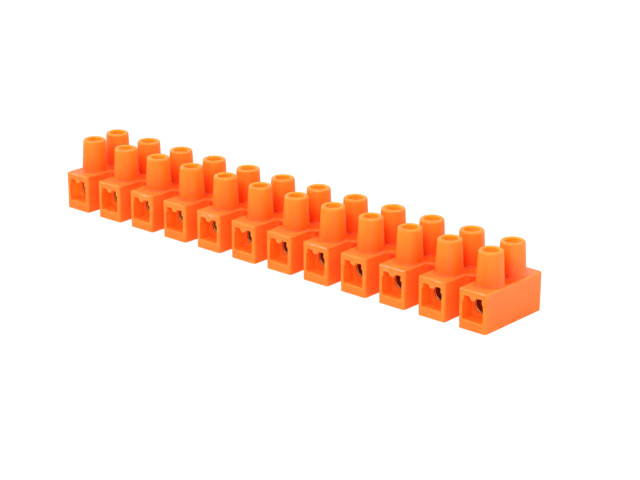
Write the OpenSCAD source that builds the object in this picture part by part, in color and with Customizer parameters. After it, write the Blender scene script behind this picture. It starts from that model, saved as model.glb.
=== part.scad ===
// Screw terminal strip: a one-piece moulded housing whose poles each hold a clamping sleeve and two slotted screws.
// X runs along the strip, Y from the front wire side to the rear one and Z up. The origin lies under the middle of
// the strip, on the face that it stands on. All lengths are in millimetres.

/* [Strip] */
// Number of poles in the strip
poles = 12; // [2:1:16]
// Distance from one pole to the next
pitch = 10; // [9:0.1:14]
// Depth from the front wire side to the rear one
depth = 18.2; // [16:0.1:24]
// Height of the whole strip, to the rims of the turrets
strip_h = 15.4; // [13:0.1:20]

/* [Pole block] */
// Height of a pole's block, below the turrets
block_h = 8.3; // [8:0.1:10]
// Width of a pole at its foot
foot_w = 6.6; // [6.2:0.1:8]
// How much wider the block is at its top than at its foot
draft_w = 0.2; // [0.1:0.05:0.6]
// Radius of a block's upright corners
corner_r = 0.45; // [0.2:0.05:0.7]
// Radius of a block's long top edges
edge_r = 0.3; // [0.1:0.05:0.3]
// Thickness of the web between two poles, at its thinnest
web_t = 3.3; // [2:0.1:5]

/* [Turrets] */
// Diameter of a turret at the block
turret_base_d = 5.5; // [5:0.1:6]
// Diameter of a turret at its top, before the rim is rounded
turret_top_d = 5; // [5:0.1:5.5]
// Radius of a turret's outer rim
rim_r = 0.8; // [0.2:0.05:0.8]
// Radius of the fillet where a turret meets its block
root_r = 0.3; // [0.1:0.05:0.3]
// Diameter of the screw shaft down a turret
shaft_d = 3.4; // [3.3:0.05:3.6]

/* [Wire entries] */
// Width of an entry
entry_w = 5; // [4.95:0.05:5.4]
// Height of an entry
entry_h = 5; // [4.95:0.05:5.2]
// Depth of an entry, from the block's face to the end of the sleeve
entry_depth = 3.4; // [2:0.1:4]
// How far the catches reach in from the block's face
catch_depth = 1; // [0.6:0.1:1.8]
// Width of the round tongue under the top of an entry
tongue_w = 1.2; // [0.8:0.1:1.6]
// How far the tongue hangs down
tongue_drop = 0.7; // [0.6:0.05:0.75]
// How far a side catch stands in from an entry's wall
side_catch_w = 0.4; // [0.2:0.05:0.5]
// Height of a side catch, down from the top of the entry
side_catch_h = 1.1; // [0.6:0.1:2]

/* [Sleeve] */
// Height of the wire way's axis above the strip's foot
axis_z = 4.5; // [4:0.1:4.8]
// Outside diameter of the sleeve
sleeve_d = 4.8; // [4.4:0.05:4.8]
// Diameter of the wire way
wire_d = 3.4; // [3:0.05:3.5]
// Width of the bevel at the wire way's mouths
mouth_bevel = 0.25; // [0.1:0.05:0.4]
// Room between the sleeve and its tunnel, all round
sleeve_room = 0.05; // [0.02:0.01:0.07]
// Wall left between a tapped hole and the end of the sleeve
end_wall = 0.65; // [0.4:0.05:1]

/* [Screws] */
// Diameter of the tapped holes in the sleeve
thread_d = 3; // [2.5:0.1:3.1]
// Room between a screw's shank and its tapped hole, all round
thread_room = 0.05; // [0.02:0.01:0.1]
// Length of the shank under the head
shank_l = 4.6; // [4.2:0.1:6]
// Width of the bevel at the shank's tip
tip_bevel = 0.35; // [0.1:0.05:0.6]
// Height of the head
head_h = 1.9; // [1.2:0.1:2.5]
// Room between a head and its turret's shaft, all round
head_room = 0.1; // [0.05:0.05:0.3]
// Width of the bevel round the top of the head
head_bevel = 0.2; // [0.1:0.05:0.3]
// Width of the screwdriver slot
slot_w = 0.6; // [0.4:0.05:0.9]
// Depth of the screwdriver slot
slot_h = 0.9; // [0.5:0.05:1.1]
// How far the open screw's tip stays above the wire way
tip_gap = 0.1; // [0.05:0.05:0.3]

/* [Hidden] */
$fn = 48;
// Extra length that carries a cut clear of the face it starts from
cut_over = 1;
// A width beyond which a block is trimmed by its opposite side
trim_w = 2 * foot_w;
draft_angle = atan(draft_w / 2 / block_h);
top_w = foot_w + draft_w;
// The slots between the poles end in a round that runs out into both pole walls
slot_blend = 0.1;
slot_r = (pitch - foot_w) / 2 + slot_blend;
slot_y = web_t / 2 + slot_r;
web_reach = slot_y - slot_blend / 2;
taper_angle = atan((turret_base_d - turret_top_d) / 2 / (strip_h - block_h));
tunnel_r = sleeve_d / 2 + sleeve_room;
sleeve_l = depth - 2 * entry_depth;
// Distance of a turret's axis, and of the screw in it, from the middle of the strip's depth
turret_y = sleeve_l / 2 - end_wall - thread_d / 2;
entry_top = axis_z + entry_h / 2;
shank_r = thread_d / 2 - thread_room;
head_r = shaft_d / 2 - head_room;
screw_z = axis_z + wire_d / 2 + tip_gap;

SIDES = ["front", "rear"];
function two_digits(number) = str(number < 10 ? "0" : "", number);
function sleeve_name(pole) = str("sleeve_", two_digits(pole));
function screw_name(side, pole) = str("screw_", side, "_", two_digits(pole));
function pole_x(pole) = (pole - (poles + 1) / 2) * pitch;
function side_sign(side) = side == "front" ? -1 : 1;

// One side of a pole's block: it leans out by the draft, and its two upright corners are round
module leaning_side() {
    translate([foot_w / 2, 0, 0])
        rotate([0, draft_angle, 0])
            translate([-trim_w, 0, -cut_over])
                linear_extrude(block_h + 3 * cut_over)
                    leaning_side_plan();
}

module leaning_side_plan() {
    straight = depth / 2 - corner_r;
    translate([0, -depth / 2])
        square([trim_w - corner_r, depth]);
    translate([0, -straight])
        square([trim_w, 2 * straight]);
    for (y = [-straight, straight])
        translate([trim_w - corner_r, y])
            circle(corner_r);
}

// The end view that gives a block its height and rounds its long top edges into the leaning sides
module block_top_section() {
    round_x = top_w / 2 - edge_r * (1 + sin(draft_angle)) / cos(draft_angle);
    round_z = block_h - edge_r;
    meet_x = round_x + edge_r * cos(draft_angle);
    meet_z = round_z - edge_r * sin(draft_angle);
    translate([-trim_w, 0])
        square([2 * trim_w, meet_z]);
    polygon([
        [-meet_x, meet_z], [-round_x, round_z], [-round_x, block_h],
        [round_x, block_h], [round_x, round_z], [meet_x, meet_z]
    ]);
    for (x = [-round_x, round_x])
        translate([x, round_z])
            circle(edge_r);
}

module pole_block() {
    intersection() {
        leaning_side();
        mirror([1, 0, 0])
            leaning_side();
        rotate([90, 0, 0])
            linear_extrude(depth + 2 * cut_over, center = true)
                block_top_section();
    }
}

// The bar through the middle of all poles, with a round-ended slot cut in from both sides between each pair
module web_bar() {
    bar_l = (poles - 1) * pitch;
    difference() {
        translate([-bar_l / 2, -web_reach, 0])
            cube([bar_l, 2 * web_reach, block_h]);
        for (gap = [1:poles - 1], side = [-1, 1])
            translate([pole_x(gap + 0.5), side * slot_y, -cut_over])
                cylinder(h = block_h + 2 * cut_over, r = slot_r);
    }
}

// Half of a turret's section: fillet at the root, tapered side and rounded rim
module turret_section() {
    base_r = turret_base_d / 2;
    top_r = turret_top_d / 2;
    root_x = base_r - root_r * tan(taper_angle) + root_r / cos(taper_angle);
    root_z = block_h + root_r;
    rim_x = top_r - rim_r * (1 - sin(taper_angle)) / cos(taper_angle);
    rim_z = strip_h - rim_r;
    root_meet = [root_x - root_r * cos(taper_angle), root_z - root_r * sin(taper_angle)];
    rim_meet = [rim_x + rim_r * cos(taper_angle), rim_z + rim_r * sin(taper_angle)];
    difference() {
        polygon([
            [0, block_h - edge_r], [root_x, block_h - edge_r], [root_x, block_h], root_meet,
            rim_meet, [rim_x, rim_z], [rim_x, strip_h], [0, strip_h]
        ]);
        translate([root_x, root_z])
            circle(root_r);
    }
    translate([rim_x, rim_z])
        circle(rim_r);
}

module turret() {
    rotate_extrude()
        turret_section();
}

// Outline of an entry at the block's face, with the tongue and the two side catches left standing
module entry_mouth() {
    tongue_r = tongue_w / 2;
    difference() {
        translate([-entry_w / 2, entry_top - entry_h])
            square([entry_w, entry_h]);
        translate([-tongue_r, entry_top - tongue_drop + tongue_r])
            square([tongue_w, tongue_drop]);
        translate([0, entry_top - tongue_drop + tongue_r])
            circle(tongue_r);
        for (side = [-1, 1])
            translate([side * entry_w / 2 - side_catch_w, entry_top - side_catch_h])
                square([2 * side_catch_w, side_catch_h + cut_over]);
    }
}

// Cut for the front entry: the shaped mouth, then the plain recess up to the sleeve
module front_entry() {
    translate([0, -depth / 2 - cut_over, 0])
        rotate([90, 0, 0])
            mirror([0, 0, 1])
                linear_extrude(catch_depth + 2 * cut_over)
                    entry_mouth();
    translate([-entry_w / 2, -depth / 2 + catch_depth, entry_top - entry_h])
        cube([entry_w, entry_depth - catch_depth, entry_h]);
}

module along_y(length, radius) {
    rotate([90, 0, 0])
        cylinder(h = length, r = radius, center = true);
}

// Everything that is hollow in one pole
module pole_hollows() {
    front_entry();
    rotate([0, 0, 180])
        front_entry();
    translate([0, 0, axis_z])
        along_y(sleeve_l + entry_depth, tunnel_r);
    for (side = SIDES)
        translate([0, side_sign(side) * turret_y, axis_z])
            cylinder(h = strip_h, d = shaft_d);
}

module housing() {
    color("darkorange")
        difference() {
            union() {
                web_bar();
                for (pole = [1:poles])
                    translate([pole_x(pole), 0, 0]) {
                        pole_block();
                        for (side = SIDES)
                            translate([0, side_sign(side) * turret_y, 0])
                                turret();
                    }
            }
            for (pole = [1:poles])
                translate([pole_x(pole), 0, 0])
                    pole_hollows();
        }
}

module sleeve(pole) {
    color("goldenrod")
        translate([pole_x(pole), 0, axis_z])
            difference() {
                along_y(sleeve_l, sleeve_d / 2);
                along_y(sleeve_l + cut_over, wire_d / 2);
                for (side = SIDES) {
                    rotate([90 * side_sign(side), 0, 0])
                        translate([0, 0, -sleeve_l / 2])
                            cylinder(h = mouth_bevel, r1 = wire_d / 2 + mouth_bevel, r2 = wire_d / 2);
                    translate([0, side_sign(side) * turret_y, 0])
                        cylinder(h = sleeve_d, d = thread_d);
                }
            }
}

module screw(side, pole) {
    head_z = shank_l + head_h;
    color("silver")
        translate([pole_x(pole), side_sign(side) * turret_y, screw_z])
            difference() {
                rotate_extrude()
                    polygon([
                        [0, 0], [shank_r - tip_bevel, 0], [shank_r, tip_bevel], [shank_r, shank_l],
                        [head_r, shank_l], [head_r, head_z - head_bevel], [head_r - head_bevel, head_z], [0, head_z]
                    ]);
                translate([-slot_w / 2, -head_r - cut_over, head_z - slot_h])
                    cube([slot_w, 2 * (head_r + cut_over), slot_h + cut_over]);
            }
}

housing();
for (pole = [1:poles]) {
    sleeve(pole);
    for (side = SIDES)
        screw(side, pole);
}
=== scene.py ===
import math
from types import SimpleNamespace

import bmesh
import bpy
from bpy.props import FloatProperty, FloatVectorProperty, IntProperty, PointerProperty
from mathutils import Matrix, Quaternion, Vector


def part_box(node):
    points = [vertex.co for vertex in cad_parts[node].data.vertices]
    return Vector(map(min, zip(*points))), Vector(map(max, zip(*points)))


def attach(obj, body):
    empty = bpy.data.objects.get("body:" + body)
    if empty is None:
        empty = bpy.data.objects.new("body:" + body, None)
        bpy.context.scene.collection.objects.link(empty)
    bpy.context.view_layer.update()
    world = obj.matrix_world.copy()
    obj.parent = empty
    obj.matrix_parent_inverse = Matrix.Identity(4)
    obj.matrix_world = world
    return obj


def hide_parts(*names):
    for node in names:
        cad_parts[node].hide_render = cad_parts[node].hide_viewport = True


bl_info = {
    "name": "Screw terminal strip",
    "version": (1, 0, 0),
    "blender": (4, 5, 0),
    "location": "View3D > Sidebar > Terminal strip",
    "description": "Models the moulded housing, clamping sleeves and slotted screws of a terminal strip",
    "category": "Add Mesh",
}

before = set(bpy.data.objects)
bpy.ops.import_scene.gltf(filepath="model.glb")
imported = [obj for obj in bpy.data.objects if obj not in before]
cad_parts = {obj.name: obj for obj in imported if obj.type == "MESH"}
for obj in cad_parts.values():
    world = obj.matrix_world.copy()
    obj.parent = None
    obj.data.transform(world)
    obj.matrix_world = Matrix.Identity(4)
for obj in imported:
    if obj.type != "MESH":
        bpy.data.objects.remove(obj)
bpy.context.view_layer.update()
SIDES = {"front": -1, "rear": 1}


def middle(node):
    """The middle of a CAD node's box."""
    low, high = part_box(node)
    return (low + high) / 2


# What the frame says of the strip
POLES = sorted(name.removeprefix("sleeve_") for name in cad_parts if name.startswith("sleeve_"))
POLE_X = {pole: middle("sleeve_" + pole).x for pole in POLES}
FIRST_X, LAST_X = POLE_X[POLES[0]], POLE_X[POLES[-1]]
PITCH = (LAST_X - FIRST_X) / (len(POLES) - 1)
HOUSING_LOW, HOUSING_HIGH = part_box("housing")
SLEEVE_LOW, SLEEVE_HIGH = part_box("sleeve_" + POLES[0])
SLEEVE_WIDTH = SLEEVE_HIGH.x - SLEEVE_LOW.x
SLEEVE_SPAN = SLEEVE_HIGH.y - SLEEVE_LOW.y
SCREW_LOW, SCREW_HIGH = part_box("screw_rear_" + POLES[0])
AXIS_Z = middle("sleeve_" + POLES[0]).z
TURRET_Y = middle("screw_rear_" + POLES[0]).y

# Two places closer than this are the same place
CLOSE = 1e-6
# Two faces that turn by more than this at an edge have a corner there
CORNER = math.radians(35)
# A face looks along an axis if its normal has more than this share of it
FACING = 0.9
# An edge that rises by more than this is an upright one
UPRIGHT_RISE = 0.001
# How far a cutting tool reaches past the surface that it enters
OVERRUN = 0.001
# Room for a sleeve in its tunnel, across and along it
ROOM_ACROSS, ROOM_ALONG = 0.0001, 0.00002
# Radius of the tongues' rounds, as a share of half their width, so that a narrow flat stays between them
TONGUE_ROUND = 0.97
# Width of the bevel under a screw's head, as a share of the round on top
UNDER_HEAD = 1 / 3
# Turns of a thread that are cut off again, so that its ends are square
SPARE_TURNS = 2
# Faces round one turn of a thread
THREAD_STEPS = 32
# How many faces each round has
FACES = {
    "slot end": 8, "upright": 5, "block top": 4, "block foot": 2, "entry": 4, "tongue": 7, "mouth": 3,
    "turret root": 6, "turret rim": 8, "shaft rim": 4, "screw head": 5, "screw slot": 2,
}

# Smears of flash on the front top edges, with painted glints: pole, place along it, half length, drop from
# the top and half width
FLASH_GLINTS = (
    ("01", -0.00075, 0.0014, 0.00015, 0.00016),
    ("03", 0.00095, 0.0009, 0.00035, 0.00025),
    ("05", 0.0009, 0.001, 0.00045, 0.00035),
    ("05", -0.0012, 0.001, 0.00075, 0.00015),
    ("08", -0.00075, 0.0006, 0.00025, 0.00025),
    ("08", 0.0016, 0.0017, 0.0002, 0.00012),
    ("10", -0.003, 0.0005, 0.0001, 0.00035),
    ("10", -0.0013, 0.0008, 0.0002, 0.00022),
    ("10", 0.0016, 0.0017, 0.00015, 0.00012),
    ("10", -0.0017, 0.0008, 0.00085, 0.00015),
    ("10", 0.0009, 0.0005, 0.001, 0.00015),
    ("11", 0.0013, 0.001, 0.0002, 0.00012),
    ("12", -0.0031, 0.0005, 0.0001, 0.0003),
    ("12", 0.0015, 0.0018, 0.0001, 0.00012),
)
# How fine and how strong the ragged edge of a smear is, and the share of its reach that is full
FLASH_SCALE = 2500.0
FLASH_RAGGEDNESS = 1.2
FLASH_CORE = 0.5
# The middle of what a noise texture gives
NOISE_MIDDLE = 0.5
# How far up the turrets the painted shade of the valley between them reaches, as a share of their height
VALLEY_SHARE = 0.7
# How far up an entry the painted shade of its floor reaches, as a share of half its height
SILL_SHARE = 0.25

# Noise scales of the patches: flow of the plastic, tarnish and smears on the brass, dull spots on the steel
FLOW_SCALE = 160.0
TARNISH_SCALE = 700.0
SMEAR_SCALE = 1500.0
DULL_SCALE = 900.0
# How broken the patches are, and the span of the noise in which they come and go
MOTTLE_DETAIL, MOTTLE_ROUGHNESS = 4.0, 0.55
MOTTLE_LOW, MOTTLE_HIGH = 0.35, 0.65
# The tooth of a surface: its two noise scales, and the strength and depth of its bumps
PLASTIC_TOOTH = {"fine": 9000.0, "coarse": 900.0, "strength": 0.08, "depth": 0.00002}
STEEL_TOOTH = {"fine": 14000.0, "coarse": 2500.0, "strength": 0.2, "depth": 0.00001}
# The turning rings on the brass: their scale and waver, and the strength and depth of their bumps
RING_SCALE, RING_WAVER = 6000.0, 0.6
RING_STRENGTH, RING_DEPTH = 0.15, 0.00001
# Roughness outside the patches and in them
PLASTIC_ROUGHNESS = (0.3, 0.4)
BRASS_ROUGHNESS = (0.55, 0.7)
STEEL_ROUGHNESS = (0.25, 0.42)
# How strongly the plastic bends and mirrors light
PLASTIC_IOR = 1.46
PLASTIC_SHINE = 0.3
# How deep light sinks into the plastic, and the shares of that for red, green and blue
SINK_DEPTH = 0.002
SINK_SHARES = (1.0, 0.7, 0.25)

# The floor's own grey
FLOOR_GREY = 0.85
# The floor's grey as the part mirrors it, in front and past the right end, and the width of the fade between
MIRROR_FRONT, MIRROR_END = 0.3, 0.8
MIRROR_FADE = 0.01
# How bright the floor looks to the camera, and how much of its shading that covers
FLOOR_GLOW = 1.06
GLOW_SHARE = 0.9
WHITE = (1.0, 1.0, 1.0, 1.0)
# The soft boxes, as the stage's settings name them
LAMPS = ("key", "fill", "left", "right", "back")
# The camera's sensor, in millimetres, and the nearest that it sees, in metres
SENSOR_WIDTH = 36
CLIP_START = 0.01


def length(name, description, default):
    """A length in metres that a user can change."""
    return FloatProperty(name=name, description=description, default=default, min=0, precision=5,
                         unit="LENGTH")


def colour(name, description, default):
    """A linear colour that a user can change."""
    return FloatVectorProperty(name=name, description=description, default=default, size=3, min=0, max=1,
                               subtype="COLOR")


def spot(name, description, default):
    """A place in metres that a user can change."""
    return FloatVectorProperty(name=name, description=description, default=default, size=3,
                               subtype="TRANSLATION", unit="LENGTH")


def power(name, description, default):
    """The power of a lamp, in watts, that a user can change."""
    return FloatProperty(name=name, description=description, default=default, min=0, unit="POWER")


def angle(name, description, degrees):
    """An angle that a user can change."""
    return FloatProperty(name=name, description=description, default=math.radians(degrees), subtype="ANGLE")


class HousingSizes(bpy.types.PropertyGroup):
    pitch: length("Pitch", "Distance from one pole to the next", PITCH)
    depth: length("Depth", "From the front wire side to the rear one", HOUSING_HIGH.y - HOUSING_LOW.y)
    height: length("Height", "From the foot to the rims of the turrets", HOUSING_HIGH.z)
    block_height: length("Block height", "Height of a pole's block, below the turrets", 0.0083)
    foot_width: length("Foot width", "Width of a pole at its foot", 0.0066)
    top_width: length("Top width", "Width of a pole at the top of its block", 0.00679)
    upright_round: length("Upright round", "Radius of a block's upright corners", 0.00045)
    top_round: length("Top round", "Radius of a block's top edges", 0.0004)
    foot_round: length("Foot round", "Radius of a block's bottom edges", 0.00012)
    web: length("Web", "Thickness of the web between two poles, at its thinnest", 0.0033)
    slot_flat: length("Slot flat", "Half of the flat between the two rounds at a slot's inner end", 0.0001)
    turret_y: length("Turret place", "Distance of a turret's axis from the middle of the strip", TURRET_Y)
    turret_foot: length("Turret foot", "Diameter of a turret at the block", 0.0057)
    turret_top: length("Turret top", "Diameter of a turret at its top, before the rim is rounded", 0.00495)
    rim_round: length("Rim round", "Radius of a turret's outer rim", 0.00045)
    root_round: length("Root round", "Radius of the fillet where a turret meets its block", 0.00035)
    root_sink: length("Root sink", "How far that fillet dips under the top of the block", 0.00002)
    # The painted shade at a turret's foot runs this far out over the block
    foot_blush: length("Foot blush", "How far the colour of a turret's foot runs out over the block", 0.001)
    shaft: length("Shaft", "Diameter of the screw shaft down a turret", 0.0034)
    shaft_round: length("Shaft round", "Radius of the inner rim of a turret", 0.00014)
    entry_width: length("Entry width", "Width of a wire entry", 0.005)
    entry_height: length("Entry height", "Height of a wire entry", 0.005)
    entry_depth: length("Entry depth", "From the block's face to the sleeve", SLEEVE_LOW.y - HOUSING_LOW.y)
    entry_round: length("Entry round", "Radius of an entry's inner corners", 0.00035)
    mouth_round: length("Mouth round", "Radius of the edge round an entry's mouth", 0.0001)
    catch_depth: length("Catch depth", "How far the tongue and catches reach into an entry", 0.001)
    tongue_width: length("Tongue width", "Width of the round tongue under the top of an entry", 0.0015)
    tongue_drop: length("Tongue drop", "How far the tongue hangs down", 0.0007)
    catch_width: length("Catch width", "How far a side catch stands in from the entry's wall", 0.0003)
    catch_height: length("Catch height", "Height of a side catch, down from the top of the entry", 0.0011)
    tunnel: length("Tunnel", "Diameter of the tunnel that holds a sleeve", SLEEVE_WIDTH + ROOM_ACROSS)
    tunnel_length: length("Tunnel length", "Length of that tunnel between its lips", SLEEVE_SPAN + ROOM_ALONG)
    lip_hole: length("Lip hole", "Diameter of the holes in the lips that keep a sleeve in", 0.0037)
    lip: length("Lip", "Thickness of those lips", 0.00012)
    axis_z: length("Axis height", "Height of the wire way's axis above the foot", AXIS_Z)


class SleeveSizes(bpy.types.PropertyGroup):
    outside: length("Outside", "Outside diameter", SLEEVE_WIDTH)
    span: length("Length", "Length from mouth to mouth", SLEEVE_SPAN)
    wire_way: length("Wire way", "Diameter of the wire way", 0.0034)
    mouth_bevel: length("Mouth bevel", "Width of the bevel at the wire way's mouths", 0.00025)
    # The bright line round a mouth is a painted highlight
    bright_edge: length("Bright edge", "Width of the line of clean brass round a mouth", 0.00011)
    # Painted shade in the wire way close behind its mouth reaches this far
    mouth_shade_reach: length("Dark reach", "How far into the wire way the dark behind its mouth reaches", 0.0014)
    rim_bevel: length("Rim bevel", "Width of the bevel round the outside of the ends", 0.00005)
    tapped_hole: length("Tapped hole", "Diameter of the two tapped holes", 0.003)


class ScrewSizes(bpy.types.PropertyGroup):
    foot: length("Foot", "Height of the open screw's tip", SCREW_LOW.z)
    top: length("Top", "Height of the open screw's head", SCREW_HIGH.z)
    head: length("Head", "Diameter of the head", SCREW_HIGH.x - SCREW_LOW.x)
    head_height: length("Head height", "Height of the head", 0.0019)
    head_bevel: length("Head bevel", "Radius of the round on top of the head", 0.0002)
    thread: length("Thread", "Diameter over the thread's crests", 0.0029)
    thread_pitch: length("Thread pitch", "Rise of the thread in one turn", 0.0005)
    thread_depth: length("Thread depth", "Depth of the thread from crest to root", 0.00027)
    thread_flat: FloatProperty(name="Thread flat", default=0.12, min=0.01, max=0.49,
                               description="Width of a crest or root, as a share of the pitch")
    tip_bevel: length("Tip bevel", "Width of the bevel at the tip", 0.00035)
    slot_width: length("Slot width", "Width of the screwdriver slot", 0.0006)
    slot_depth: length("Slot depth", "Depth of the screwdriver slot", 0.0009)
    slot_round: length("Slot round", "Radius of the slot's edges", 0.00005)


class Finishes(bpy.types.PropertyGroup):
    plastic: colour("Plastic", "Colour of the moulded housing", (1.0, 0.192, 0.024))
    plastic_deep: colour("Deep plastic", "Colour where the pigment flowed thicker", (1.0, 0.17, 0.02))
    # The turrets' colour is painted shade at their feet, running to painted light at their rims
    plastic_turret_foot_shade: colour("Turret foot shade", "Colour at the foot of the turrets", (1.0, 0.124, 0.008))
    plastic_turret_rim_light: colour("Turret rim light", "Colour at the rims of the turrets", (1.0, 0.195, 0.013))
    plastic_mouth: colour("Mouth plastic", "Colour in the turrets' mouths, lit through", (1.0, 0.3, 0.02))
    # Painted light inside the entries, and painted shade on their floors and on the lips at their inner ends
    plastic_hollow_light: colour("Hollow plastic", "Colour in the entries", (1.0, 0.205, 0.013))
    plastic_sill_shade: colour("Sill plastic", "Colour of the floors of the entries", (1.0, 0.14, 0.008))
    plastic_lip_shade: colour("Lip plastic", "Colour of the lips at the entries' inner ends", (1.0, 0.11, 0.006))
    # Painted shade on the blocks' tops between two turrets
    plastic_gap_shade: colour("Gap plastic", "Colour of the blocks' tops between two turrets", (1.0, 0.1, 0.006))
    plastic_shade: colour("Shaded plastic", "Colour of the top edges above the slots", (1.0, 0.13, 0.01))
    # Painted shade over the middle of the end faces
    plastic_end_shade: colour("End plastic", "Colour of the middle of the end faces", (1.0, 0.166, 0.02))
    plastic_glow: colour("Glowing plastic", "Colour in the first entries, lit through", (1.0, 0.33, 0.02))
    # Painted shade low between the rows of turrets
    plastic_valley_shade: colour("Valley plastic", "Colour low between the rows of turrets", (0.82, 0.088, 0.007))
    # Painted shade on the webs down between the poles
    plastic_web_shade: colour("Web plastic", "Colour of the webs", (0.9, 0.055, 0.004))
    plastic_tongue: colour("Tongue plastic", "Colour of the tongues in the entries", (1.0, 0.2, 0.035))
    # Pale flash, with painted glints, on the front top edges
    plastic_flash_glint: colour("Pale plastic", "Colour of flash", (1.0, 0.27, 0.15))
    # A painted highlight on the bevel at a sleeve's mouth
    brass: colour("Brass", "Colour of the clean bevel at a sleeve's mouth", (0.5, 0.27, 0.11))
    brass_dull: colour("Dull brass", "Colour of the sleeve", (0.3, 0.1, 0.02))
    brass_brown: colour("Brown brass", "Colour of the sleeve where it is tarnished", (0.2, 0.05, 0.01))
    # Painted orange light deep in the wire way, and smears with painted shade close behind its mouth
    brass_bore_light: colour("Lit bore brass", "Colour deep inside the wire way", (1.0, 0.15, 0.006))
    brass_smear_and_shade: colour("Dark brass", "Colour of the wire way close behind its mouth", (0.45, 0.055, 0.002))
    steel: colour("Steel", "Colour of the plated screws", (0.68, 0.69, 0.7))
    steel_dull: colour("Dull steel", "Colour of the plating where it is dull", (0.5, 0.48, 0.43))
    # Painted shade down in the screwdriver slots
    steel_slot_shade: colour("Slot steel", "Colour down in the screwdriver slots", (0.1, 0.09, 0.08))


class StageSettings(bpy.types.PropertyGroup):
    camera_place: spot("Camera place", "Where the camera stands", (0.290476, -0.327878, 0.158349))
    camera_azimuth: angle("Azimuth", "How far round to the right the camera stands", 40.6988)
    camera_elevation: angle("Elevation", "How far up the camera stands", 19.4755)
    camera_roll: angle("Roll", "How far the camera leans", 0.3024)
    lens: FloatProperty(name="Lens", description="Focal length in millimetres", default=124.022)
    floor_size: length("Floor size", "Width of the square floor", 4.0)
    sky_light: FloatProperty(name="Sky light", description="Strength of light from all round", default=0.82)
    soft_box: length("Soft box", "Width of each soft box", 0.6)
    key_place: spot("Key place", "Where the soft box in front stands", (0.15, -0.6, 0.6))
    key_power: power("Key power", "Power of the soft box in front", 5.8)
    fill_place: spot("Fill place", "Where the soft box beside the camera stands", (0.35, -0.45, 0.15))
    fill_power: power("Fill power", "Power of the soft box beside the camera", 0.5)
    left_place: spot("Left place", "Where the soft box on the left stands", (-0.7, -0.2, 0.35))
    left_power: power("Left power", "Power of the soft box on the left", 2.2)
    right_place: spot("Right place", "Where the soft box on the right stands", (0.7, -0.05, 0.35))
    right_power: power("Right power", "Power of the soft box on the right", 0.35)
    back_place: spot("Back place", "Where the soft box behind stands", (0.4, 0.5, 0.6))
    back_power: power("Back power", "Power of the soft box behind", 2.0)


class StripSettings(bpy.types.PropertyGroup):
    housing: PointerProperty(type=HousingSizes)
    sleeve: PointerProperty(type=SleeveSizes)
    screw: PointerProperty(type=ScrewSizes)
    finish: PointerProperty(type=Finishes)
    stage: PointerProperty(type=StageSettings)
    turning_steps: IntProperty(name="Turning steps", description="Faces round a turned shape", default=64,
                               min=12)


# Bench work: the steps that every piece is modelled with

SELECT_MODES = {"verts": (True, False, False), "edges": (False, True, False), "faces": (False, False, True)}
ALONG_Y = (math.radians(90), 0, 0)
HALF_TURN = (0, 0, math.radians(180))


def only(piece):
    """Makes this the one object that the operators act on."""
    bpy.ops.object.select_all(action="DESELECT")
    piece.select_set(True)
    bpy.context.view_layer.objects.active = piece


def start_editing(piece):
    only(piece)
    bpy.ops.object.mode_set(mode="EDIT")
    bpy.ops.mesh.select_mode(type="VERT")
    bpy.ops.mesh.select_all(action="SELECT")


def stop_editing():
    bpy.ops.object.mode_set(mode="OBJECT")


def pick(piece, kind, test):
    """In edit mode, selects the vertices, edges or faces that pass the test, and nothing else."""
    bpy.context.tool_settings.mesh_select_mode = SELECT_MODES[kind]
    shape = bmesh.from_edit_mesh(piece.data)
    chosen = [item for item in getattr(shape, kind) if test(item)]
    if not chosen:
        raise RuntimeError(f"{piece.name}: no {kind} pass the test")
    for item in (*shape.verts, *shape.edges, *shape.faces):
        item.select_set(False)
    for item in chosen:
        item.select_set(True)
    shape.select_flush_mode()
    bmesh.update_edit_mesh(piece.data)


def near(a, b):
    return abs(a - b) < CLOSE


def both_ends(edge, test):
    return all(test(vert.co) for vert in edge.verts)


def sharp(edge):
    return edge.calc_face_angle(0) > CORNER


def upright(edge):
    """Does the edge run upwards and turn a corner?"""
    lower, upper = sorted(vert.co.z for vert in edge.verts)
    return upper - lower > UPRIGHT_RISE and sharp(edge)


def bevel(width, segments):
    bpy.ops.mesh.bevel(offset=width, offset_type="OFFSET", segments=segments, affect="EDGES",
                       clamp_overlap=False)


def put(piece, place=(0, 0, 0), turn=(0, 0, 0)):
    """Turns a piece about the origin and moves it, all in its mesh."""
    piece.location = place
    piece.rotation_euler = turn
    only(piece)
    bpy.ops.object.transform_apply(location=True, rotation=True, scale=True)


def new_piece(name):
    """The primitive that was just added, under its name and with its place in its mesh."""
    piece = bpy.context.object
    piece.name = name
    bpy.ops.object.transform_apply(location=True, rotation=True, scale=True)
    return piece


def box_piece(name, low, high):
    """A box between two corners, ready to be shaped."""
    low, high = Vector(low), Vector(high)
    bpy.ops.object.select_all(action="DESELECT")
    bpy.ops.mesh.primitive_cube_add(size=1, location=(low + high) / 2, scale=high - low)
    return new_piece(name)


def turned_piece(name, profile, centre=(0, 0), closed=False):
    """A shape turned about an upright axis, ring by ring, from (radius, height) pairs. A closed profile ends
    where it starts and gives a ring, and any other gives a solid."""
    radius, height = profile[0]
    bpy.ops.object.select_all(action="DESELECT")
    bpy.ops.mesh.primitive_circle_add(vertices=bpy.context.scene.terminal_strip.turning_steps, radius=radius,
                                      location=(*centre, height), fill_type="NOTHING" if closed else "NGON")
    piece = new_piece(name)
    start_editing(piece)
    for next_radius, next_height in profile[1:]:
        bpy.ops.mesh.extrude_region_move(TRANSFORM_OT_translate={"value": (0, 0, next_height - height)})
        ratio = next_radius / radius
        bpy.ops.transform.resize(value=(ratio, ratio, 1), center_override=(*centre, next_height))
        radius, height = next_radius, next_height
    clean_up()
    stop_editing()
    return piece


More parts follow.
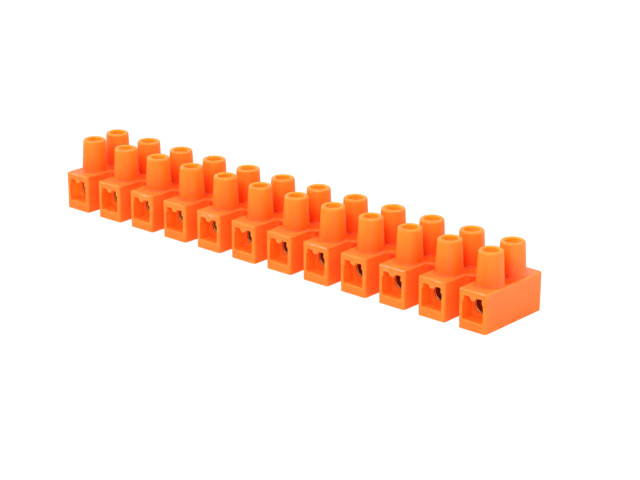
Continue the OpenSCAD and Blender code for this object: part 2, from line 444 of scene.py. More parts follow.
def line_piece(name, points):
    """A line of edges from point to point."""
    bpy.ops.object.select_all(action="DESELECT")
    bpy.ops.mesh.primitive_plane_add(location=points[0])
    piece = new_piece(name)
    start_editing(piece)
    bpy.ops.mesh.merge(type="CENTER")
    for start, end in zip(points, points[1:]):
        bpy.ops.mesh.extrude_region_move(TRANSFORM_OT_translate={"value": Vector(end) - Vector(start)})
    stop_editing()
    return piece


def close_seams():
    """In edit mode, merges the vertices that lie in one place."""
    bpy.ops.mesh.select_all(action="SELECT")
    bpy.ops.mesh.remove_doubles(threshold=CLOSE)


def clean_up():
    """In edit mode, closes the seams and turns the faces outwards."""
    close_seams()
    bpy.ops.mesh.normals_make_consistent(inside=False)


def copy_of(piece, name):
    """A copy with a mesh of its own."""
    only(piece)
    bpy.ops.object.duplicate(linked=False)
    twin = bpy.context.object
    twin.name = name
    return twin


def joined(pieces, name):
    only(pieces[0])
    for piece in pieces:
        piece.select_set(True)
    bpy.ops.object.join()
    whole = bpy.context.object
    whole.name = name
    return whole


def apply_modifier(piece, modifier):
    only(piece)
    bpy.ops.object.modifier_apply(modifier=modifier.name)


def combine(piece, tool, operation):
    """Adds the tool to the piece, cuts it away or keeps what both share. The tool is used up."""
    step = piece.modifiers.new(operation.lower(), "BOOLEAN")
    step.operation = operation
    step.solver = "EXACT"
    step.object = tool
    apply_modifier(piece, step)
    bpy.data.objects.remove(tool)
    if not piece.data.polygons:
        raise RuntimeError(f"{piece.name}: nothing is left of it")


def smooth(piece):
    """Smooth shading that keeps flat faces flat and corners crisp."""
    only(piece)
    bpy.ops.object.shade_smooth_by_angle(angle=CORNER)
    step = piece.modifiers.new("face weights", "WEIGHTED_NORMAL")
    step.keep_sharp = True
    apply_modifier(piece, step)


def arc(centre, radius, start, end, steps):
    """Points along an arc, from one angle to another in degrees."""
    angles = [math.radians(start + (end - start) * step / steps) for step in range(steps + 1)]
    return [(centre[0] + radius * math.cos(a), centre[1] + radius * math.sin(a)) for a in angles]


# The moulded housing

def pole_block(sizes, web_sides):
    """A pole's block, drafted and rounded, with half a web standing out on each of the given sides."""
    half_depth, half_foot, half_pitch = sizes.depth / 2, sizes.foot_width / 2, sizes.pitch / 2
    half_web, top = sizes.web / 2, sizes.block_height
    block = box_piece("pole_block", (-half_foot, -half_depth, 0), (half_foot, half_depth, top))
    start_editing(block)
    pick(block, "faces", lambda face: face.normal.z > FACING)
    bpy.ops.transform.resize(value=(sizes.top_width / sizes.foot_width, 1, 1), center_override=(0, 0, top))
    for y in (-half_web, half_web):
        bpy.ops.mesh.select_all(action="SELECT")
        bpy.ops.mesh.bisect(plane_co=(0, y, 0), plane_no=(0, 1, 0), threshold=CLOSE)
    for side in web_sides:
        pick(block, "faces", lambda face: side * face.normal.x > FACING
             and near(face.calc_center_median().y, 0))
        bpy.ops.mesh.extrude_region_move(TRANSFORM_OT_translate={"value": (side * half_web, 0, 0)})
        bpy.ops.transform.resize(value=(0, 1, 1), center_override=(side * half_pitch, 0, 0))
    pick(block, "edges", lambda edge: upright(edge) and both_ends(
        edge, lambda place: near(abs(place.y), half_web) and abs(place.x) < half_pitch - CLOSE))
    bevel(half_pitch - sizes.top_width / 2 - sizes.slot_flat, FACES["slot end"])
    pick(block, "edges", lambda edge: upright(edge)
         and both_ends(edge, lambda place: near(abs(place.y), half_depth)))
    bevel(sizes.upright_round, FACES["upright"])
    for height, radius, kind in ((top, sizes.top_round, "block top"), (0, sizes.foot_round, "block foot")):
        pick(block, "edges", lambda edge: sharp(edge)
             and both_ends(edge, lambda place: near(place.z, height))
             and not both_ends(edge, lambda place: near(abs(place.x), half_pitch)))
        bevel(radius, FACES[kind])
    stop_editing()
    return block


def turret(sizes, side):
    """A turret before it is bored: fillet at the root, tapered side and rounded rim."""
    foot_r, top_r = sizes.turret_foot / 2, sizes.turret_top / 2
    taper = math.atan((foot_r - top_r) / (sizes.height - sizes.block_height))
    root, rim = sizes.root_round, sizes.rim_round
    root_x = foot_r + root * (1 / math.cos(taper) - math.tan(taper))
    root_z = sizes.block_height + root - sizes.root_sink
    rim_x = top_r - rim * (1 - math.sin(taper)) / math.cos(taper)
    lean = math.degrees(taper)
    profile = [(root_x, sizes.block_height - root)]
    profile += arc((root_x, root_z), root, 270, 180 + lean, FACES["turret root"])
    profile += arc((rim_x, sizes.height - rim), rim, lean, 90, FACES["turret rim"])
    return turned_piece("turret", profile, (0, SIDES[side] * sizes.turret_y))


def entry_hollow(sizes, side):
    """What is cut away for a wire entry: a square recess, less the tongue and catches in its mouth."""
    face, back = -sizes.depth / 2, sizes.entry_depth - sizes.lip - sizes.depth / 2
    behind, out = face + sizes.catch_depth, face - 2 * OVERRUN
    half_width, half_tongue = sizes.entry_width / 2, sizes.tongue_width / 2
    bottom, top = sizes.axis_z - sizes.entry_height / 2, sizes.axis_z + sizes.entry_height / 2
    over, tip = top + OVERRUN, top - sizes.tongue_drop
    hollow = box_piece("entry", (-half_width, face - OVERRUN, bottom), (half_width, back, top))
    start_editing(hollow)
    pick(hollow, "edges", lambda edge: any(near(vert.co.y, back) for vert in edge.verts))
    bevel(sizes.entry_round, FACES["entry"])
    stop_editing()
    tongue = box_piece("tongue", (-half_tongue, out, tip), (half_tongue, behind, over))
    start_editing(tongue)
    pick(tongue, "edges", lambda edge: both_ends(edge, lambda place: near(place.z, tip))
         and not near(edge.verts[0].co.y, edge.verts[1].co.y))
    bevel(TONGUE_ROUND * half_tongue, FACES["tongue"])
    stop_editing()
    stays = [tongue]
    for end in (-1, 1):
        left, right = sorted((end * (half_width - sizes.catch_width), end * (half_width + OVERRUN)))
        stays.append(box_piece("catch", (left, out, top - sizes.catch_height), (right, behind, over)))
    combine(hollow, joined(stays, "stays"), "DIFFERENCE")
    if side == "rear":
        put(hollow, turn=HALF_TURN)
    return hollow


def screw_shaft(sizes, side):
    """What is bored down a turret, into the tunnel, with a flare that rounds the turret's inner rim."""
    radius, flare = sizes.shaft / 2, sizes.shaft_round
    profile = [(radius, sizes.axis_z)]
    profile += arc((radius + flare, sizes.height - flare), flare, 180, 90, FACES["shaft rim"])
    profile.append((radius + flare, sizes.height + OVERRUN))
    return turned_piece("shaft", profile, (0, SIDES[side] * sizes.turret_y))


def sleeve_tunnel(sizes):
    """What is bored from entry to entry: a tunnel with a narrower hole through the lip at each end."""
    radius, hole_r = sizes.tunnel / 2, sizes.lip_hole / 2
    half, reach = sizes.tunnel_length / 2, (sizes.depth - sizes.entry_depth) / 2
    profile = [(hole_r, -reach), (hole_r, -half), (radius, -half)]
    profile += [(radius, half), (hole_r, half), (hole_r, reach)]
    tunnel = turned_piece("tunnel", profile)
    put(tunnel, (0, 0, sizes.axis_z), ALONG_Y)
    return tunnel


def in_mouth(sizes, place):
    """Is this place on the outline of a wire entry, in the block's face?"""
    return (near(abs(place.y), sizes.depth / 2) and abs(place.x) < sizes.entry_width / 2 + CLOSE
            and abs(place.z - sizes.axis_z) < sizes.entry_height / 2 + CLOSE)


def pole_cell(sizes, web_sides):
    """One pole with its turrets, hollows and half webs. It is open where its webs meet the next pole's."""
    cell = pole_block(sizes, web_sides)
    combine(cell, joined([turret(sizes, side) for side in SIDES], "turrets"), "UNION")
    combine(cell, joined([entry_hollow(sizes, side) for side in SIDES], "entries"), "DIFFERENCE")
    combine(cell, sleeve_tunnel(sizes), "DIFFERENCE")
    combine(cell, joined([screw_shaft(sizes, side) for side in SIDES], "shafts"), "DIFFERENCE")
    start_editing(cell)
    pick(cell, "edges", lambda edge: sharp(edge) and both_ends(edge, lambda place: in_mouth(sizes, place)))
    bevel(sizes.mouth_round, FACES["mouth"])
    pick(cell, "faces", lambda face: all(near(abs(vert.co.x), sizes.pitch / 2) for vert in face.verts))
    bpy.ops.mesh.delete(type="FACE")
    stop_editing()
    return cell


class TERMINAL_OT_housing(bpy.types.Operator):
    """Models the one-piece housing: drafted pole blocks on webs, with turrets, wire entries and bores"""
    bl_idname = "terminal.housing"
    bl_label = "Moulded housing"

    def execute(self, context):
        settings = context.scene.terminal_strip
        inner = pole_cell(settings.housing, (-1, 1))
        right_end = pole_cell(settings.housing, (-1,))
        left_end = copy_of(right_end, "left_end")
        put(left_end, turn=HALF_TURN)
        ends = {POLES[0]: left_end, POLES[-1]: right_end}
        cells = []
        for pole in POLES:
            cell = copy_of(ends.get(pole, inner), "cell")
            put(cell, (POLE_X[pole], 0, 0))
            cells.append(cell)
        for pattern in (inner, left_end, right_end):
            bpy.data.objects.remove(pattern)
        housing = joined(cells, "moulded_housing")
        start_editing(housing)
        close_seams()
        stop_editing()
        smooth(housing)
        housing.data.materials.clear()
        housing.data.materials.append(plastic_material(settings))
        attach(housing, "strip")
        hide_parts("housing")
        return {"FINISHED"}


# The clamping sleeves

def sleeve_shape(sizes):
    """A turned brass tube along Y, with two tapped holes in its top."""
    half, inner, outer = sizes.span / 2, sizes.wire_way / 2, sizes.outside / 2
    bevel_in, bevel_out = sizes.mouth_bevel, sizes.rim_bevel
    profile = [(inner, half - bevel_in), (inner, bevel_in - half), (inner + bevel_in, -half),
               (outer - bevel_out, -half), (outer, bevel_out - half), (outer, half - bevel_out),
               (outer - bevel_out, half), (inner + bevel_in, half), (inner, half - bevel_in)]
    tube = turned_piece("sleeve", profile, closed=True)
    put(tube, (0, 0, AXIS_Z), ALONG_Y)
    radius = sizes.tapped_hole / 2
    drill = [(radius, AXIS_Z), (radius, AXIS_Z + 2 * outer)]
    drills = [turned_piece("drill", drill, (0, side * TURRET_Y)) for side in SIDES.values()]
    combine(tube, joined(drills, "drills"), "DIFFERENCE")
    smooth(tube)
    return tube


class TERMINAL_OT_sleeves(bpy.types.Operator):
    """Models one brass clamping sleeve and copies it to every pole"""
    bl_idname = "terminal.sleeves"
    bl_label = "Clamping sleeves"

    def execute(self, context):
        settings = context.scene.terminal_strip
        pattern = sleeve_shape(settings.sleeve)
        pattern.data.materials.append(brass_material(settings))
        for pole in POLES:
            sleeve = copy_of(pattern, "clamping_sleeve_" + pole)
            put(sleeve, (POLE_X[pole], 0, 0))
            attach(sleeve, "strip")
            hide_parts("sleeve_" + pole)
        bpy.data.objects.remove(pattern)
        return {"FINISHED"}


# The slotted screws

def threaded_rod(sizes, low, high):
    """A rod with a true thread, cut square at both heights."""
    crest, root, rise = sizes.thread / 2, sizes.thread / 2 - sizes.thread_depth, sizes.thread_pitch
    turns = math.ceil((high - low) / rise) + SPARE_TURNS
    flank = (1 - 2 * sizes.thread_flat) / 2
    crest_end, root_start = flank + sizes.thread_flat, 2 * flank + sizes.thread_flat
    shares = ((root, 0), (crest, flank), (crest, crest_end), (root, root_start), (root, 1))
    rod = line_piece("threaded_rod", [(radius, 0, low + (share - 1) * rise) for radius, share in shares])
    step = rod.modifiers.new("helix", "SCREW")
    step.angle = math.tau * turns
    step.screw_offset = rise * turns
    step.steps = THREAD_STEPS * turns
    step.render_steps = step.steps
    step.use_merge_vertices = False
    apply_modifier(rod, step)
    start_editing(rod)
    clean_up()
    for height, way in ((low, -1), (high, 1)):
        bpy.ops.mesh.select_all(action="SELECT")
        bpy.ops.mesh.bisect(plane_co=(0, 0, height), plane_no=(0, 0, way), use_fill=True, clear_outer=True,
                            threshold=CLOSE)
    clean_up()
    stop_editing()
    return rod


def screw_shape(sizes):
    """A slotted screw on the origin's upright: round head, threaded shank and bevelled tip."""
    head_r, crest, half_slot = sizes.head / 2, sizes.thread / 2 + CLOSE, sizes.slot_width / 2
    under_head, slot_floor = sizes.top - sizes.head_height, sizes.top - sizes.slot_depth
    rod = threaded_rod(sizes, sizes.foot, under_head + sizes.head_bevel)
    envelope = [(sizes.thread / 2 - sizes.tip_bevel, sizes.foot - CLOSE),
                (crest, sizes.foot + sizes.tip_bevel), (crest, sizes.top)]
    combine(rod, turned_piece("envelope", envelope), "INTERSECT")
    top_round, chamfer = sizes.head_bevel, UNDER_HEAD * sizes.head_bevel
    profile = [(head_r - chamfer, under_head), (head_r, under_head + chamfer)]
    profile += arc((head_r - top_round, sizes.top - top_round), top_round, 0, 90, FACES["screw head"])
    combine(rod, turned_piece("head", profile), "UNION")
    blade = box_piece("blade", (-half_slot, -sizes.head, slot_floor),
                      (half_slot, sizes.head, sizes.top + OVERRUN))
    combine(rod, blade, "DIFFERENCE")
    start_editing(rod)
    pick(rod, "edges", lambda edge: sharp(edge) and both_ends(
        edge, lambda place: near(abs(place.x), half_slot) and near(place.z, sizes.top)))
    bevel(sizes.slot_round, FACES["screw slot"])
    stop_editing()
    smooth(rod)
    return rod


class TERMINAL_OT_screws(bpy.types.Operator):
    """Models one slotted clamping screw and copies it into every turret"""
    bl_idname = "terminal.screws"
    bl_label = "Clamping screws"

    def execute(self, context):
        settings = context.scene.terminal_strip
        pattern = screw_shape(settings.screw)
        pattern.data.materials.append(steel_material(settings))
        for side, sign in SIDES.items():
            for pole in POLES:
                node = f"screw_{side}_{pole}"
                screw = copy_of(pattern, f"clamping_{node}")
                put(screw, (POLE_X[pole], sign * TURRET_Y, 0))
                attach(screw, node + "_body")
                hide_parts(node)
        bpy.data.objects.remove(pattern)
        return {"FINISHED"}


# Finishes: nodes and what is worked out with them

# Sockets of a Mix node that mixes colours: its factor, the colour below, the colour on top and the result
MIX_FACTOR, MIX_BELOW, MIX_ON_TOP = 0, 6, 7
MIX_RESULT = 2


def add(tree, kind, inputs=None, **settings):
    """Adds a node with its settings. An input that is given as a socket is linked, and any other is set."""
    node = tree.nodes.new(kind)
    for key, value in settings.items():
        setattr(node, key, value)
    for key, value in (inputs or {}).items():
        if isinstance(value, bpy.types.NodeSocket):
            tree.links.new(value, node.inputs[key])
        else:
            node.inputs[key].default_value = value
    return node


def new_material(name):
    material = bpy.data.materials.new(name)
    material.use_nodes = True
    material.node_tree.nodes.clear()
    return material, material.node_tree


def surface(tree, shader):
    add(tree, "ShaderNodeOutputMaterial", {"Surface": shader.outputs[0]})


def math_node(tree, operation, *values):
    """The result of a calculation on sockets and numbers."""
    return add(tree, "ShaderNodeMath", dict(enumerate(values)), operation=operation).outputs[0]


def mapped(tree, value, low, high):
    """Spreads a mask from 0 and 1 to two other values."""
    return add(tree, "ShaderNodeMapRange", {"Value": value, "To Min": low, "To Max": high}).outputs["Result"]


def ramp(tree, value, start, end):
    """A mask that runs smoothly from 0 at the start to 1 at the end."""
    return add(tree, "ShaderNodeMapRange", {"Value": value, "From Min": start, "From Max": end},
               interpolation_type="SMOOTHSTEP").outputs["Result"]


def distance(tree, first, second):
    square = math_node(tree, "MULTIPLY", first, first)
    return math_node(tree, "SQRT", math_node(tree, "MULTIPLY_ADD", second, second, square))


def both(tree, *masks):
    """Where all of the masks are."""
    whole = masks[0]
    for mask in masks[1:]:
        whole = math_node(tree, "MULTIPLY", whole, mask)
    return whole


def painted(tree, base, *coats):
    """A colour with other colours laid over it in turn, each through its own mask."""
    def shade(value):
        return value if isinstance(value, bpy.types.NodeSocket) else (*value, 1.0)

    for mask, coat in coats:
        inputs = {MIX_FACTOR: mask, MIX_BELOW: shade(base), MIX_ON_TOP: shade(coat)}
        base = add(tree, "ShaderNodeMix", inputs, data_type="RGBA").outputs[MIX_RESULT]
    return base


def object_place(tree):
    return add(tree, "ShaderNodeTexCoord").outputs["Object"]


def strip_place(tree):
    """Sockets that say where a point of the part is: as a vector, along the strip, across it and up, from the
    first pole along the strip, and from the middle of the nearest pole."""
    vector = object_place(tree)
    along, across, height = add(tree, "ShaderNodeSeparateXYZ", {"Vector": vector}).outputs
    from_first = math_node(tree, "SUBTRACT", along, FIRST_X)
    from_pole = math_node(tree, "PINGPONG", from_first, PITCH / 2)
    return SimpleNamespace(vector=vector, along=along, across=across, height=height, from_first=from_first,
                           from_pole=from_pole)


# Finishes: effects that are shared as node groups

def shared_group(name, inputs, output, fill):
    """A node group that is built once and then found by its name. An input with a default is a number, and
    one without is a vector. The fill function adds the nodes and returns the socket that is put out."""
    if name in bpy.data.node_groups:
        return bpy.data.node_groups[name]
    group = bpy.data.node_groups.new(name, "ShaderNodeTree")
    for label, default in inputs.items():
        kind = "NodeSocketVector" if default is None else "NodeSocketFloat"
        socket = group.interface.new_socket(label, in_out="INPUT", socket_type=kind)
        if default is not None:
            socket.default_value = default
    group.interface.new_socket(output, in_out="OUTPUT", socket_type="NodeSocketFloat")
    given = group.nodes.new("NodeGroupInput").outputs
    add(group, "NodeGroupOutput", {output: fill(group, given)})
    return group


def mottle(tree, vector, scale):
    """Soft patches that come and go over a surface, as a mask from 0 to 1."""
    def fill(group, given):
        noise = add(group, "ShaderNodeTexNoise", {
            "Vector": given["Vector"], "Scale": given["Scale"], "Detail": MOTTLE_DETAIL,
            "Roughness": MOTTLE_ROUGHNESS})
        return ramp(group, noise.outputs["Fac"], given["Low"], given["High"])

    inputs = {"Vector": None, "Scale": FLOW_SCALE, "Low": MOTTLE_LOW, "High": MOTTLE_HIGH}
    group = shared_group("Mottle", inputs, "Mask", fill)
    return add(tree, "ShaderNodeGroup", {"Vector": vector, "Scale": scale}, node_tree=group).outputs["Mask"]


def toothed(tree, vector, fine, coarse, strength, depth):
    """The normal of a surface with a fine tooth, mixed half and half from two sizes of noise."""
    def fill(group, given):
        layers = [add(group, "ShaderNodeTexNoise", {"Vector": given["Vector"], "Scale": given[label]})
                  for label in ("Fine", "Coarse")]
        heights = {label: layer.outputs["Fac"] for label, layer in zip("AB", layers)}
        return add(group, "ShaderNodeMix", heights).outputs["Result"]

    inputs = {"Vector": None, "Fine": PLASTIC_TOOTH["fine"], "Coarse": PLASTIC_TOOTH["coarse"]}
    group = shared_group("Grain", inputs, "Height", fill)
    grain = add(tree, "ShaderNodeGroup", {"Vector": vector, "Fine": fine, "Coarse": coarse}, node_tree=group)
    return bumped(tree, grain.outputs["Height"], strength, depth)


def bumped(tree, height, strength, depth):
    inputs = {"Strength": strength, "Distance": depth, "Height": height}
    return add(tree, "ShaderNodeBump", inputs).outputs["Normal"]


def smear(tree, vector, place, reach):
    """A smear of flash with a painted glint: a ragged spot about a place, as a mask from 0 to 1."""
    def fill(group, given):
        offset = add(group, "ShaderNodeVectorMath", {0: given["Vector"], 1: given["Middle"]},
                     operation="SUBTRACT").outputs["Vector"]
        share = add(group, "ShaderNodeVectorMath", {0: offset, 1: given["Reach"]},
                    operation="DIVIDE").outputs["Vector"]
        away = add(group, "ShaderNodeVectorMath", {0: share}, operation="LENGTH").outputs["Value"]
        noise = add(group, "ShaderNodeTexNoise", {"Vector": given["Vector"], "Scale": FLASH_SCALE})
        uneven = math_node(group, "SUBTRACT", noise.outputs["Fac"], NOISE_MIDDLE)
        ragged = math_node(group, "MULTIPLY_ADD", uneven, given["Raggedness"], away)
        return ramp(group, ragged, 1.0, FLASH_CORE)

    inputs = {"Vector": None, "Middle": None, "Reach": None, "Raggedness": FLASH_RAGGEDNESS}
    group = shared_group("Flash", inputs, "Mask", fill)
    return add(tree, "ShaderNodeGroup", {"Vector": vector, "Middle": place, "Reach": reach},
               node_tree=group).outputs["Mask"]


# Finishes: where each colour of the plastic goes

def turret_masks(tree, where, sizes):
    """Masks over the turrets: on or round one, how far up for the painted shade at the foot and painted
    light at the rim, in a mouth for painted light, and for painted shade low in the valley between the
    two rows and on top of the blocks there."""
    foot_r, shaft_r, block_top = sizes.turret_foot / 2, sizes.shaft / 2, sizes.block_height
    from_line = math_node(tree, "ABSOLUTE", where.across)
    radius = distance(tree, where.from_pole, math_node(tree, "SUBTRACT", from_line, sizes.turret_y))
    above = ramp(tree, where.height, block_top - sizes.top_round, block_top)
    on_turret = both(tree, above, ramp(tree, radius, foot_r + sizes.foot_blush, foot_r))
    # From the painted shade at a turret's foot up to the painted light at its rim
    up_turret = ramp(tree, where.height, block_top, sizes.height)
    # Painted light in a turret's mouth
    mouth = both(tree, ramp(tree, radius, shaft_r + sizes.shaft_round, shaft_r),
                 ramp(tree, where.height, block_top, sizes.height - shaft_r))
    # Painted shade low in the valley between the rows and on the blocks' tops there
    between = ramp(tree, from_line, sizes.turret_y, sizes.turret_y - foot_r)
    valley_top = block_top + VALLEY_SHARE * (sizes.height - block_top)
    valley = both(tree, between, ramp(tree, where.across, shaft_r - sizes.turret_y, 0.0),
                  ramp(tree, where.height, valley_top, block_top))
    return on_turret, up_turret, mouth, valley, both(tree, between, above)


def entry_masks(tree, where, sizes):
    """Masks over the entries: inside, with painted light, on the floor, with painted shade, on the tongue,
    and on the lip at the inner end, with a painted shadow.
    """
    face, blur = sizes.depth / 2, sizes.mouth_round
    half_width, half_height = sizes.entry_width / 2, sizes.entry_height / 2
    half_tongue = sizes.tongue_width / 2
    from_line = math_node(tree, "ABSOLUTE", where.across)
    above_axis = math_node(tree, "SUBTRACT", where.height, sizes.axis_z)
    entry = both(tree, ramp(tree, from_line, face, face - sizes.entry_depth / 2),
                 ramp(tree, where.from_pole, half_width + blur, half_width),
                 ramp(tree, math_node(tree, "ABSOLUTE", above_axis), half_height + blur, half_height))
    # Painted shade on an entry's floor
    sill_shade = both(tree, entry, ramp(tree, above_axis, (SILL_SHARE - 1) * half_height, -half_height))
    tip = half_height - sizes.tongue_drop
    tongue = both(tree, ramp(tree, where.from_pole, half_tongue + blur, half_tongue),
                  ramp(tree, above_axis, half_height + blur, half_height),
                  ramp(tree, above_axis, tip - blur, tip),
                  ramp(tree, from_line, face - 2 * sizes.catch_depth, face - sizes.catch_depth))
    inner_end, tunnel_r = face - sizes.entry_depth, sizes.tunnel / 2
    # Painted shadow on the lip round the tunnel
    lip = both(tree, ramp(tree, from_line, inner_end + 2 * sizes.lip, inner_end + sizes.lip),
               ramp(tree, distance(tree, where.from_pole, above_axis), tunnel_r + 2 * sizes.lip, tunnel_r))
    return entry, sill_shade, tongue, lip


def webs(tree, where, sizes):
    """Mask over the webs, where shade is painted."""
    half_top, half_pitch = sizes.top_width / 2, sizes.pitch / 2
    return ramp(tree, where.from_pole, half_top, (half_top + half_pitch) / 2)


def first_pole(tree, where, sizes):
    """Mask over the pole at the left end, whose outer wall lets light in."""
    return ramp(tree, where.from_first, sizes.pitch / 2, sizes.entry_width / 2)


def slot_edges(tree, where, sizes):
    """Mask over the top edges on the right of the blocks, above the slots, where shade is painted."""
    half_pitch, half_top, edge = sizes.pitch / 2, sizes.top_width / 2, sizes.top_round
    offset = math_node(tree, "WRAP", where.from_first, half_pitch, -half_pitch)
    return both(tree, ramp(tree, offset, half_top - 2 * edge, half_top - edge / 2),
                ramp(tree, where.height, sizes.block_height - 2 * edge, sizes.block_height - edge / 2),
                ramp(tree, where.along, LAST_X, LAST_X - half_pitch))


def end_faces(tree, where, sizes):
    """Mask over the middle of the two end faces of the strip, where shade is painted."""
    edge, face = LAST_X + sizes.foot_width / 2, sizes.depth / 2
    return both(tree, ramp(tree, math_node(tree, "ABSOLUTE", where.along), edge - sizes.upright_round, edge),
                ramp(tree, math_node(tree, "ABSOLUTE", where.across), face, face - sizes.entry_depth),
                ramp(tree, where.height, sizes.block_height, sizes.block_height - sizes.web / 2))


def flash_glint_mask(tree, where, sizes):
    """Mask over all the smears of flash, with their painted glints, along the front top edges of the blocks.
    """
    whole = 0.0
    for pole, along, half_length, drop, half_width in FLASH_GLINTS:
        if pole not in POLE_X:
            continue
        place = (POLE_X[pole] + along, -sizes.depth / 2, sizes.block_height - drop)
        mask = smear(tree, where.vector, place, (half_length, sizes.upright_round, half_width))
        whole = math_node(tree, "MAXIMUM", whole, mask)
    return whole


# Finishes: the materials

def plastic_material(settings):
    """Orange moulded plastic that light sinks into, with faint flow patches, a fine mould tooth and pale
    flash with painted glints. Light and shade are painted into its colour: painted light up the turrets, in
    their mouths and in the entries, and painted shade at the turrets' feet, in the valley, on the webs, on
    the floors and lips of the entries, on the end faces and on the top edges above the slots."""
    finish, sizes = settings.finish, settings.housing
    material, tree = new_material("orange_moulding")
    where = strip_place(tree)
    flow = mottle(tree, where.vector, FLOW_SCALE)
    entry, sill_shade, tongue, lip = entry_masks(tree, where, sizes)
    on_turret, up_turret, mouth, valley, gap_shade = turret_masks(tree, where, sizes)
    hollow = painted(tree, finish.plastic_hollow_light, (first_pole(tree, where, sizes), finish.plastic_glow))
    # Painted shade at the turrets' feet, painted light up at their rims, and painted shade low in the valley
    turret_body = painted(tree, finish.plastic_turret_foot_shade, (up_turret, finish.plastic_turret_rim_light),
                          (valley, finish.plastic_valley_shade))
    body = painted(
        tree, finish.plastic,
        (flow, finish.plastic_deep),
        (webs(tree, where, sizes), finish.plastic_web_shade),
        (entry, hollow),
        (sill_shade, finish.plastic_sill_shade),
        (tongue, finish.plastic_tongue),
        (lip, finish.plastic_lip_shade),
        (end_faces(tree, where, sizes), finish.plastic_end_shade),
        (slot_edges(tree, where, sizes), finish.plastic_shade),
        (gap_shade, finish.plastic_gap_shade),
        (on_turret, turret_body),
        (mouth, finish.plastic_mouth),
        (flash_glint_mask(tree, where, sizes), finish.plastic_flash_glint))
    surface(tree, add(tree, "ShaderNodeBsdfPrincipled", {
        "Base Color": body, "Roughness": mapped(tree, flow, *PLASTIC_ROUGHNESS),
        "Normal": toothed(tree, where.vector, **PLASTIC_TOOTH), "IOR": PLASTIC_IOR,
        "Specular IOR Level": PLASTIC_SHINE, "Subsurface Weight": mapped(tree, lip, 1.0, 0.0),
        "Subsurface Radius": SINK_SHARES, "Subsurface Scale": SINK_DEPTH}))
    return material


def metal(tree, body, roughness, normal):
    surface(tree, add(tree, "ShaderNodeBsdfPrincipled", {
        "Base Color": body, "Metallic": 1.0, "Roughness": roughness, "Normal": normal}))


def brass_material(settings):
    """Turned brass: dull with tarnish on the ends and a painted highlight on the edge of the mouth. In the
    wire way it has smears, painted orange light, and painted shade close behind its mouth."""
    finish, sizes = settings.finish, settings.sleeve
    material, tree = new_material("turned_brass")
    where = strip_place(tree)
    tarnish = mottle(tree, where.vector, TARNISH_SCALE)
    smears = mottle(tree, where.vector, SMEAR_SCALE)
    radius = distance(tree, where.from_pole, math_node(tree, "SUBTRACT", where.height, AXIS_Z))
    way, half_span = sizes.wire_way / 2, sizes.span / 2
    edge = way + sizes.bright_edge
    # Painted highlight on the mouth's bevel
    edge_highlight = ramp(tree, radius, edge + sizes.bright_edge / 2, edge)
    in_way = ramp(tree, radius, way + sizes.bright_edge / 4, way)
    # Painted shade close behind the mouth
    mouth_shade = ramp(tree, math_node(tree, "ABSOLUTE", where.across), half_span - sizes.mouth_shade_reach,
                    half_span - sizes.mouth_bevel)
    # Painted orange light in the wire way, with smears and painted shade
    bore_light = painted(tree, finish.brass_bore_light, (smears, finish.brass_smear_and_shade), (mouth_shade, finish.brass_smear_and_shade))
    body = painted(tree, finish.brass_dull, (tarnish, finish.brass_brown), (edge_highlight, finish.brass),
                   (in_way, bore_light))
    rings = add(tree, "ShaderNodeTexWave", {"Vector": where.vector, "Scale": RING_SCALE,
                                            "Distortion": RING_WAVER}, bands_direction="Y")
    metal(tree, body, mapped(tree, tarnish, *BRASS_ROUGHNESS),
          bumped(tree, rings.outputs["Fac"], RING_STRENGTH, RING_DEPTH))
    return material


def steel_material(settings):
    """Plated steel, dull in patches, with painted shade down in the slots and the tooth of the plating."""
    finish, sizes = settings.finish, settings.screw
    material, tree = new_material("plated_steel")
    where = strip_place(tree)
    dull = mottle(tree, where.vector, DULL_SCALE)
    slot_floor, half_slot = sizes.top - sizes.slot_depth, sizes.slot_width / 2
    # Painted shade down in the slot
    slot_shade = both(tree, ramp(tree, where.from_pole, 2 * half_slot, half_slot + sizes.slot_round),
                   ramp(tree, where.height, sizes.top, sizes.top - sizes.slot_depth / 2),
                   ramp(tree, where.height, slot_floor - sizes.slot_round, slot_floor))
    body = painted(tree, finish.steel, (dull, finish.steel_dull), (slot_shade, finish.steel_slot_shade))
    metal(tree, body, mapped(tree, dull, *STEEL_ROUGHNESS), toothed(tree, where.vector, **STEEL_TOOTH))
    return material


# The stage

def seen_rays(tree):
    """1 for the rays that show a background: camera, glossy and transmission rays."""
    path = add(tree, "ShaderNodeLightPath").outputs
    some = math_node(tree, "MAXIMUM", path["Is Camera Ray"], path["Is Glossy Ray"])
    return math_node(tree, "MAXIMUM", some, path["Is Transmission Ray"])


def floor_material():
    """A white floor that keeps a faint shadow and shows as white to the camera. What the part mirrors of it
    is dim, and dimmer in front of the part than past its right end."""
    material, tree = new_material("white_floor")
    path = add(tree, "ShaderNodeLightPath").outputs
    along = add(tree, "ShaderNodeSeparateXYZ", {"Vector": object_place(tree)}).outputs["X"]
    mirrored = add(tree, "ShaderNodeMapRange", {
        "Value": along, "From Min": HOUSING_HIGH.x, "From Max": HOUSING_HIGH.x + MIRROR_FADE,
        "To Min": MIRROR_FRONT, "To Max": MIRROR_END}).outputs["Result"]
    grey = mapped(tree, path["Is Glossy Ray"], FLOOR_GREY, mirrored)
    matt = add(tree, "ShaderNodeBsdfDiffuse", {"Color": grey}).outputs[0]
    glow = add(tree, "ShaderNodeEmission", {"Color": WHITE, "Strength": FLOOR_GLOW}).outputs[0]
    share = math_node(tree, "MULTIPLY", path["Is Camera Ray"], GLOW_SHARE)
    surface(tree, add(tree, "ShaderNodeMixShader", {0: share, 1: matt, 2: glow}))
    return material


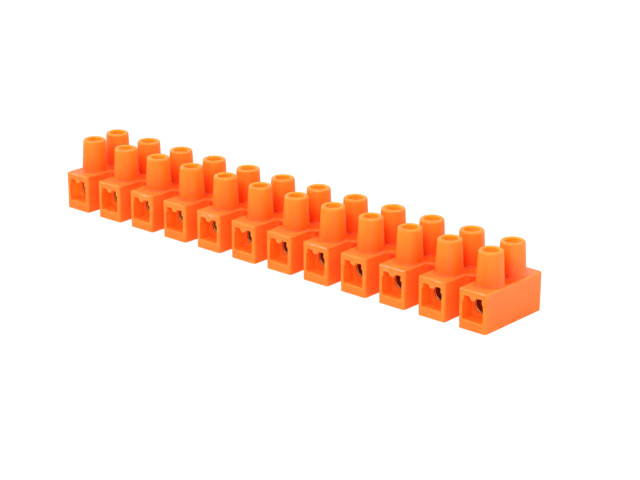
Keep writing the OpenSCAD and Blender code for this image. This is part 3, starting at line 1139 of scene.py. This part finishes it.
def lit_world(strength):
    """Light from all round, with a plain white background."""
    world = bpy.data.worlds.new("white_room")
    world.use_nodes = True
    tree = world.node_tree
    tree.nodes.clear()
    level = mapped(tree, seen_rays(tree), strength, 1.0)
    light = add(tree, "ShaderNodeBackground", {"Color": WHITE, "Strength": level})
    add(tree, "ShaderNodeOutputWorld", {"Surface": light.outputs[0]})
    bpy.context.scene.world = world


def soft_box(name, place, size, watts):
    """A square lamp that faces the origin."""
    bpy.ops.object.light_add(type="AREA", location=place)
    lamp = bpy.context.object
    lamp.name = name
    lamp.rotation_euler = (-Vector(place)).to_track_quat("-Z", "Y").to_euler()
    lamp.data.shape = "SQUARE"
    lamp.data.size = size
    lamp.data.energy = watts


class TERMINAL_OT_stage(bpy.types.Operator):
    """Sets the camera, the white floor and the soft light"""
    bl_idname = "terminal.stage"
    bl_label = "Stage"

    def execute(self, context):
        stage = context.scene.terminal_strip.stage
        bpy.ops.object.select_all(action="DESELECT")
        bpy.ops.mesh.primitive_plane_add(size=stage.floor_size)
        floor = bpy.context.object
        floor.name = "floor"
        floor.data.materials.append(floor_material())
        lit_world(stage.sky_light)
        for lamp in LAMPS:
            place, watts = getattr(stage, lamp + "_place"), getattr(stage, lamp + "_power")
            soft_box(lamp + "_soft_box", place, stage.soft_box, watts)
        bpy.ops.object.camera_add(location=stage.camera_place)
        camera = bpy.context.object
        azimuth, elevation = stage.camera_azimuth, stage.camera_elevation
        back = Vector((math.sin(azimuth) * math.cos(elevation), -math.cos(azimuth) * math.cos(elevation),
                       math.sin(elevation)))
        level = (-back).to_track_quat("-Z", "Y")
        camera.rotation_mode = "QUATERNION"
        camera.rotation_quaternion = level @ Quaternion((0, 0, 1), stage.camera_roll)
        camera.data.lens = stage.lens
        camera.data.sensor_width = SENSOR_WIDTH
        camera.data.clip_start = CLIP_START
        context.scene.camera = camera
        context.scene.view_settings.view_transform = "Standard"
        return {"FINISHED"}


class TERMINAL_PT_strip(bpy.types.Panel):
    bl_idname = "TERMINAL_PT_strip"
    bl_label = "Terminal strip"
    bl_space_type = "VIEW_3D"
    bl_region_type = "UI"
    bl_category = "Terminal strip"

    def draw(self, context):
        for operator in OPERATORS:
            self.layout.operator(operator.bl_idname)


GROUPS = (HousingSizes, SleeveSizes, ScrewSizes, Finishes, StageSettings, StripSettings)
OPERATORS = (TERMINAL_OT_stage, TERMINAL_OT_housing, TERMINAL_OT_sleeves, TERMINAL_OT_screws)


def register():
    for kind in (*GROUPS, *OPERATORS, TERMINAL_PT_strip):
        bpy.utils.register_class(kind)
    bpy.types.Scene.terminal_strip = PointerProperty(type=StripSettings)


def unregister():
    del bpy.types.Scene.terminal_strip
    for kind in (TERMINAL_PT_strip, *reversed(OPERATORS), *reversed(GROUPS)):
        bpy.utils.unregister_class(kind)


def main():
    register()
    bpy.ops.terminal.stage()
    bpy.ops.terminal.housing()
    bpy.ops.terminal.sleeves()
    bpy.ops.terminal.screws()


if __name__ == "__main__":
    main()
